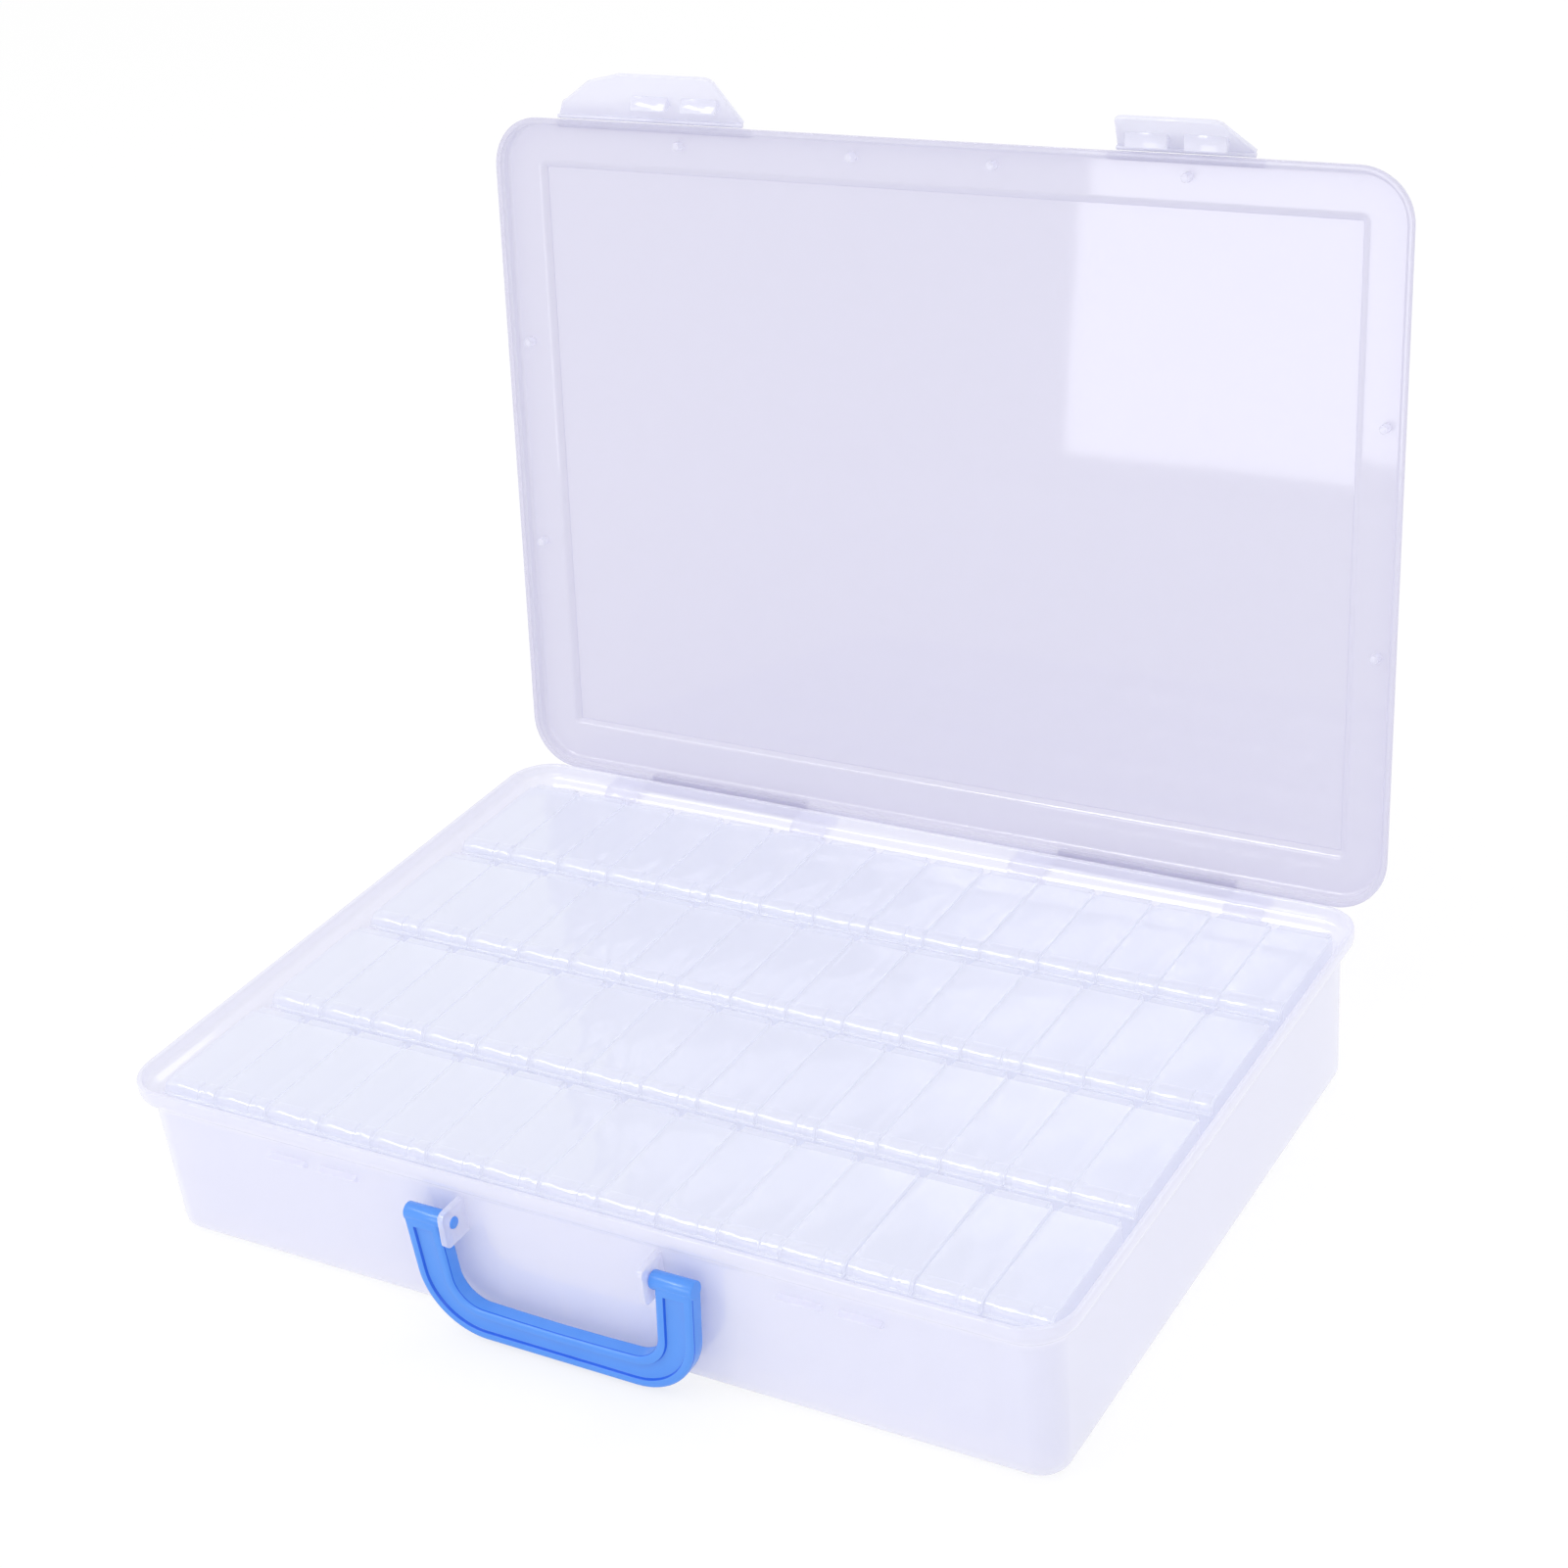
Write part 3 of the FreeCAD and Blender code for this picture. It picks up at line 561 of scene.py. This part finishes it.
def latchFlap(name, c, shoulder, angle, side):
    outline = latchOutline(c, shoulder)
    innerY = c["y"] + c["bead"] - c["standOff"]
    points = [place(x, innerY, z) for x, z in outline]
    plate = startPoint(name, points[0])
    drawLine(points)
    bpy.ops.mesh.select_all(action="SELECT")
    bpy.ops.mesh.edge_face_add()
    extrudeBy(0, -c["skin"], 0)
    plate = soften(finishEdit(plate), 0.4, 3)
    top = case["height"] - c["hookBelowRim"]
    hookLine = [(innerY - 0.5, top), (innerY + c["hookReach"], top), (innerY + c["hookReach"], top - 0.8),
                (innerY, top - c["hookHeight"]), (innerY - 0.5, top - c["hookHeight"])]
    parts = [plate, rodX("bead", min(x for x, z in outline), max(x for x, z in outline), c["y"], c["z"], c["bead"], 16)]
    for end in (-1, 1):
        middle = end * (c["hookLength"] + c["hookSpacing"]) / 2
        half = c["hookLength"] / 2
        parts.append(soften(closedBar("hook", hookLine, middle - half, middle + half), 0.25))
    whole = joinAll(parts)
    whole.data.transform(Matrix.Translation(place(side * c["x"], 0, 0)))
    turned(whole, c["y"], c["z"], -angle)
    return smooth(opened(whole))


print("latches")
leftLatch = latchFlap("leftLatch", latch, latch["shoulder"], latch["leftAngle"], -1)
dress(leftLatch, litLatchMaterial, "left latch", ["latch_left"])
rightLatch = latchFlap("rightLatch", latch, 0, latch["rightAngle"], 1)
dress(rightLatch, litLatchMaterial, "right latch", ["latch_right"])


# Carry handle: a moulded bow with a sunk front between raised borders, and a boss and pin on each arm

handle = {"width": 108.6, "taper": 3.8, "arm": 13.4, "grip": 11.6, "length": 42.5, "thick": 6.2,
          "outerCorner": 24.0, "innerCorner": 11.0, "border": 3.0, "rounding": 1.1, "sag": 0.5,
          "pocket": 1.1, "bossReach": 2.1, "y": -127.2, "z": 44.0, "pinRadius": 2.0, "pinLength": 3.0,
          "cornerSteps": 16, "armSplit": -1.8}


def handleLines(h):
    # The outer and inner edges on the +X side, both from the middle up to the arm's end, as (x, z)
    slope = h["taper"] / h["length"]
    lean = math.degrees(math.atan(slope))
    low, bar = -h["length"], -h["length"] + h["grip"]
    lines = []
    for edge, start, radius in ((h["width"] / 2, low, h["outerCorner"]),
                                (h["width"] / 2 - h["arm"], bar, h["innerCorner"])):
        z = start + radius * (1 - math.sin(math.radians(lean)))
        x = edge + slope * z - radius * math.cos(math.radians(lean))
        sag = h["sag"] if start == bar else 0
        line = [(0, start - sag), (x * 0.5, start - sag * 0.7)]
        line += arc((x, start + radius), radius, -90, -lean, h["cornerSteps"])
        split = h["armSplit"]
        line += [(edge + slope * split, split), (edge, 0)]
        lines.append(line)
    return lines


def handleBow(h):
    half = h["thick"] / 2
    outer, inner = handleLines(h)
    piece = startPoint("carryHandle", place(outer[0][0], -half, outer[0][1]))
    drawLine([place(x, -half, z) for x, z in outer])
    bpy.ops.object.mode_set(mode="OBJECT")
    other = startPoint("innerEdge", place(inner[0][0], -half, inner[0][1]))
    drawLine([place(x, -half, z) for x, z in inner])
    bpy.ops.object.mode_set(mode="OBJECT")
    piece = joinAll([piece, other])
    bpy.ops.object.mode_set(mode="EDIT")
    bpy.ops.mesh.select_mode(type="EDGE")
    bpy.ops.mesh.select_all(action="SELECT")
    bpy.ops.mesh.bridge_edge_loops()
    bpy.ops.mesh.select_all(action="SELECT")
    extrudeBy(0, h["thick"], 0)
    pick(piece, lambda p: abs(p.x) < 0.01)
    bpy.ops.mesh.select_mode(type="FACE")
    bpy.ops.mesh.delete(type="ONLY_FACE")
    finishEdit(piece)
    return modify(piece, "MIRROR", use_axis=(True, False, False), use_mirror_merge=True, merge_threshold=tiny)


def carryHandle(h):
    half = h["thick"] / 2
    piece = soften(handleBow(h), h["rounding"], 4)
    piece.data.materials.append(handleMaterial)
    piece.data.materials.append(shadedGrooveMaterial)
    bpy.ops.object.mode_set(mode="EDIT")
    pickFaces(piece, lambda p, n: n.y < -0.99 and p.z < h["armSplit"])
    bpy.ops.mesh.inset(thickness=(h["border"] - h["rounding"]) * mm, depth=0, use_boundary=True,
                       use_even_offset=True)
    bpy.ops.mesh.inset(thickness=0.25 * mm, depth=-h["pocket"] * mm, use_boundary=True)
    # The pocket's steep walls get the darker blue of painted shade
    pickFaces(piece, lambda p, n: 0.1 < p.y + half < h["pocket"] - 0.1 and abs(n.y) < 0.5)
    piece.active_material_index = 1
    bpy.ops.object.material_slot_assign()
    finishEdit(piece)
    soften(piece, 0.25, 2)
    tip, armIn = h["width"] / 2, h["width"] / 2 - h["arm"]
    parts = [piece]
    for side in (-1, 1):
        x0, x1 = sorted((side * (armIn - h["bossReach"]), side * tip))
        parts.append(soften(rodX("boss", x0, x1, 0, 0, half, 40), 0.9, 3, 30))
        x0, x1 = sorted((side * (armIn - h["bossReach"] - h["pinLength"]), side * armIn))
        parts.append(rodX("pin", x0, x1, 0, 0, h["pinRadius"], 28))
    for part in parts[1:]:
        part.data.materials.append(handleMaterial)
    whole = joinAll(parts)
    whole.data.transform(Matrix.Translation(place(0, h["y"], h["z"])))
    return smooth(whole)


print("carry handle")
dress(carryHandle(handle), handleMaterial, "handle", ["carry_handle"])


# Containers: four rows of fifteen, each an open tapered box with a hinged lid

container = {"pitch": 22.3, "rowPitch": 58.7, "frontRowY": -112.7, "frontPitch": 22.1, "loose": 3,
             "looseGap": 0.7, "columns": 15, "halfWidth": 10.65, "front": 1.62, "back": 52.0, "low": 1.86,
             "top": 55.2, "wall": 1.2, "draft": 0.9, "corner": 2.6, "cheek": 1.3, "seatZ": 51.7,
             "slopeZ": 51.176}
cover = {"halfWidth": 10.85, "narrowHalf": 9.05, "top": 56.4, "skin": 1.2, "roll": 3.6, "drop": 4.2,
         "lip": 1.0, "lipHeight": 0.6, "cheekY": 48.3, "knuckle": 2.2, "axisY": 50.8, "axisZ": 54.2,
         "padRise": 0.45, "pads": ((-8.2, 3.7), (6.4, 10.6))}


def containerBody(c):
    bpy.ops.object.select_all(action="DESELECT")
    middle = place(0, (c["front"] + c["back"]) / 2, (c["low"] + c["top"]) / 2)
    bpy.ops.mesh.primitive_cube_add(size=1, location=middle)
    piece = bpy.context.object
    piece.name = piece.data.name = "container"
    depth = c["back"] - c["front"]
    piece.scale = (2 * c["halfWidth"] * mm, depth * mm, (c["top"] - c["low"]) * mm)
    bpy.ops.object.transform_apply(location=True, rotation=True, scale=True)
    bpy.ops.object.mode_set(mode="EDIT")
    bpy.ops.mesh.select_mode(type="VERT")
    pick(piece, lambda p: p.z < c["low"] + 0.1)
    narrow = ((c["halfWidth"] - c["draft"]) / c["halfWidth"], 1 - 2 * c["draft"] / depth, 1)
    bpy.ops.transform.resize(value=narrow, center_override=place(0, middle.y / mm, c["low"]))
    bpy.ops.mesh.select_mode(type="EDGE")
    pickEdges(piece, lambda p, q: abs(p.z - q.z) > 1)
    bpy.ops.mesh.bevel(offset=c["corner"] * mm, segments=4)
    pickEdges(piece, lambda p, q: max(p.z, q.z) < c["low"] + 0.1)
    bpy.ops.mesh.bevel(offset=1.0 * mm, segments=2)
    pickFaces(piece, lambda p, n: n.z > 0.9)
    bpy.ops.mesh.delete(type="FACE")
    bpy.ops.mesh.select_all(action="SELECT")
    bpy.ops.mesh.bisect(plane_co=place(0, 0, c["slopeZ"]), plane_no=(0, -1, 1), clear_outer=True)
    for axis, at, normal in ((0, c["halfWidth"] - c["cheek"], (1, 0, 0)), (0, c["cheek"] - c["halfWidth"], (1, 0, 0)),
                             (2, c["seatZ"], (0, 0, 1))):
        where = [0, 0, 0]
        where[axis] = at
        bpy.ops.mesh.select_all(action="SELECT")
        bpy.ops.mesh.bisect(plane_co=place(*where), plane_no=normal)
    pickFaces(piece, lambda p, n: n.y > 0.9 and p.z > c["seatZ"] and abs(p.x) < c["halfWidth"] - c["cheek"])
    bpy.ops.mesh.delete(type="FACE")
    finishEdit(piece)
    modify(piece, "SOLIDIFY", thickness=c["wall"] * mm, offset=-1, use_even_offset=True)
    return smooth(piece, 50)


def coverBody(c):
    top, roll, skin, lip = c["top"], c["roll"], c["skin"], c["lip"]
    lipZ = top - c["drop"]
    line = [(c["cheekY"], top), (roll + 1.5, top)]
    line += arc((roll, top - roll), roll, 90, 180, 7)
    line += [(-lip, lipZ + c["lipHeight"]), (-lip, lipZ), (skin, lipZ), (skin, top - roll)]
    line += arc((roll, top - roll), roll - skin, 170, 90, 4)
    line += [(c["cheekY"], top - skin)]
    cuts = [-c["halfWidth"]] + [x for pad in c["pads"] for x in pad] + [c["halfWidth"]]
    points = [place(cuts[0], y, z) for y, z in line]
    piece = startPoint("containerLid", points[0])
    drawLine(points)
    bpy.ops.mesh.select_all(action="SELECT")
    bpy.ops.mesh.edge_face_add()
    for before, after in zip(cuts, cuts[1:]):
        pickFaces(piece, lambda p, n: abs(p.x - before) < 0.01 and abs(n.x) > 0.9)
        extrudeBy(after - before, 0, 0)
    finishEdit(piece)
    bpy.ops.object.mode_set(mode="EDIT")
    for x0, x1 in c["pads"]:
        pickFaces(piece, lambda p, n: x0 < p.x < x1 and p.y < roll + 1.5 and p.z > top - roll
                  and n.z > 0.05 and n.z - n.y > 0.5)
        bpy.ops.mesh.extrude_region_shrink_fatten(TRANSFORM_OT_shrink_fatten={"value": c["padRise"] * mm})
    finishEdit(piece)
    soften(piece, 0.3, 3, 40)
    back = [(c["cheekY"] - 0.01, top - skin), (c["cheekY"] - 0.01, top)]
    back += arc((c["axisY"], c["axisZ"]), c["knuckle"], 90, -150, 14)
    narrow = closedBar("lidKnuckle", back, -c["narrowHalf"], c["narrowHalf"])
    return smooth(joinAll([piece, soften(narrow, 0.18, 2, 50)]), 40)


def columnX(row, column, c):
    # The last few containers of the front row stand a little apart
    last = c["columns"] - 1
    if row:
        return (column - last / 2) * c["pitch"]
    start = -(last * c["frontPitch"] + c["loose"] * c["looseGap"]) / 2
    return start + column * c["frontPitch"] + max(0, column - (last - c["loose"])) * c["looseGap"]


def rowOf(piece, name, row, c):
    # A whole row as one object, by an array
    whole = copyTo(piece, name, place(columnX(row, 0, c), c["frontRowY"] + row * c["rowPitch"], 0))
    return modify(whole, "ARRAY", count=c["columns"], use_relative_offset=False, use_constant_offset=True,
                  constant_offset_displace=place(c["pitch"], 0, 0))


print("containers")
oneBody = containerBody(container)
oneCover = coverBody(cover)
# Sixty clear boxes would stop the lamps' light after eight faces, so they let all of it by
oneBody.visible_shadow = oneCover.visible_shadow = False
oneBody.visible_diffuse = oneCover.visible_diffuse = False
for column in range(container["columns"]):
    shift = place(columnX(0, column, container), container["frontRowY"], 0)
    number = f"{column + 1:02d}"
    dress(copyTo(oneBody, "container" + number, shift), containerMaterial, "container " + number,
          ["container_" + number])
    dress(copyTo(oneCover, "containerLid" + number, shift), containerMaterial, "container lid " + number,
          ["container_lid_" + number])
for row in range(1, 4):
    name = str(row + 1)
    dress(rowOf(oneBody, "rowContainers" + name, row, container), containerMaterial, f"row {name} containers",
          [f"row_{name}_containers"])
    dress(rowOf(oneCover, "rowLids" + name, row, container), containerMaterial, f"row {name} lids",
          [f"row_{name}_lids"])
bpy.data.objects.remove(oneBody)
bpy.data.objects.remove(oneCover)


# Camera, at the photograph's place

cameraPlace = {"azimuth": 32.778, "elevation": 27.583, "roll": -6.343, "distance": 1.26812,
               "target": (-0.129591, 0.2384935, 0.0), "lens": 67.32}


def addCamera(c):
    azimuth, elevation, roll = (math.radians(c[key]) for key in ("azimuth", "elevation", "roll"))
    back = Vector((math.sin(azimuth) * math.cos(elevation), -math.cos(azimuth) * math.cos(elevation),
                   math.sin(elevation)))
    right = Vector((math.cos(azimuth), math.sin(azimuth), 0))
    up = back.cross(right)
    turnedRight = right * math.cos(roll) + up * math.sin(roll)
    turnedUp = up * math.cos(roll) - right * math.sin(roll)
    axes = Matrix((turnedRight, turnedUp, back)).transposed().to_4x4()
    bpy.ops.object.camera_add()
    camera = bpy.context.object
    camera.name = "photoCamera"
    camera.matrix_world = Matrix.Translation(Vector(c["target"]) + back * c["distance"]) @ axes
    camera.data.sensor_width = 36
    camera.data.lens = c["lens"]
    camera.data.clip_end = 50
    bpy.context.scene.camera = camera


# Studio: white floor, white surround and three large soft lamps

studio = {"floor": 8.0, "floorColour": "#F6F6F6", "surround": 0.92, "key": 8.0, "fill": 2.6, "window": 1.45,
          "back": 4.0, "front": 0.6, "softbox": 5.0}


def whiteFloor(s):
    bpy.ops.object.select_all(action="DESELECT")
    bpy.ops.mesh.primitive_grid_add(x_subdivisions=4, y_subdivisions=4, size=s["floor"],
                                    location=(0, 0, -0.0005))
    floor = bpy.context.object
    floor.name = floor.data.name = "studioFloor"
    bpy.ops.object.transform_apply(location=True, rotation=True, scale=True)
    material, tree = newMaterial("matt white sweep")
    path = addNode(tree, "ShaderNodeLightPath")
    seen = addNode(tree, "ShaderNodeMath", {0: path.outputs["Is Camera Ray"], 1: path.outputs["Is Glossy Ray"]},
                   operation="MAXIMUM")
    anySight = addNode(tree, "ShaderNodeMath", {0: seen.outputs[0], 1: path.outputs["Is Transmission Ray"]},
                       operation="MAXIMUM")
    matt = addNode(tree, "ShaderNodeBsdfDiffuse", Color=linear(s["floorColour"]))
    white = addNode(tree, "ShaderNodeEmission", Color=(1, 1, 1, 1), Strength=1.03)
    share = addNode(tree, "ShaderNodeMath", {0: anySight.outputs[0]}, operation="MULTIPLY")
    share.inputs[1].default_value = 0.72
    mixed = addNode(tree, "ShaderNodeMixShader", {0: share.outputs[0], 1: matt.outputs[0], 2: white.outputs[0]})
    addNode(tree, "ShaderNodeOutputMaterial", {"Surface": mixed.outputs[0]})
    floor.data.materials.append(material)


def whiteSurround(s):
    world = bpy.data.worlds.new("white surround")
    bpy.context.scene.world = world
    world.use_nodes = True
    tree = world.node_tree
    tree.nodes.clear()
    path = addNode(tree, "ShaderNodeLightPath")
    direct = addNode(tree, "ShaderNodeMath", {0: path.outputs["Is Camera Ray"], 1: path.outputs["Is Glossy Ray"]},
                     operation="MAXIMUM")
    seen = addNode(tree, "ShaderNodeMath", {0: direct.outputs[0], 1: path.outputs["Is Transmission Ray"]},
                   operation="MAXIMUM")
    lit = addNode(tree, "ShaderNodeBackground", Color=(1, 1, 1, 1), Strength=s["surround"])
    shown = addNode(tree, "ShaderNodeBackground", Color=(1, 1, 1, 1), Strength=1.0)
    mixed = addNode(tree, "ShaderNodeMixShader", {0: seen.outputs[0], 1: lit.outputs[0], 2: shown.outputs[0]})
    addNode(tree, "ShaderNodeOutputWorld", {"Surface": mixed.outputs[0]})


def softLamp(name, at, aim, size, power):
    bpy.ops.object.light_add(type="AREA", location=at)
    lamp = bpy.context.object
    lamp.name = name
    lamp.data.shape = "RECTANGLE"
    lamp.data.size, lamp.data.size_y = size
    lamp.data.energy = power
    lamp.rotation_euler = (Vector(aim) - Vector(at)).to_track_quat("-Z", "Y").to_euler()
    return lamp


print("camera and studio")
addCamera(cameraPlace)
whiteFloor(studio)
whiteSurround(studio)
softLamp("keyLamp", (-1.15, -1.15, 1.5), (0, 0, 0.1), (1.5, 0.3), studio["key"])
softLamp("fillLamp", (1.8, -0.9, 1.2), (0, 0, 0.1), (1.0, 1.0), studio["fill"])
# The window is seen only in the gloss, where it gives the lid its lighter corner
window = softLamp("window", (-0.31, -1.1, 0.2), (-0.31, 0, 0.2), (0.42, 0.41), studio["window"])
window.visible_diffuse = window.visible_transmission = False
# The softbox is seen in the rolled fronts of the containers at the right
softbox = softLamp("softbox", (-0.7, -1.3, 1.5), (0, 0, 0.1), (0.4, 0.8), studio["softbox"])
softbox.visible_diffuse = softbox.visible_transmission = False
softLamp("backLamp", (0.9, 1.6, 1.6), (0, 0, 0.1), (1.2, 0.5), studio["back"])
frontLamp = softLamp("frontLamp", (-0.1, -0.95, 0.12), (0, -0.13, 0.03), (1.0, 0.2), studio["front"])
frontLamp.visible_glossy = False
bpy.context.scene.view_settings.view_transform = "Standard"
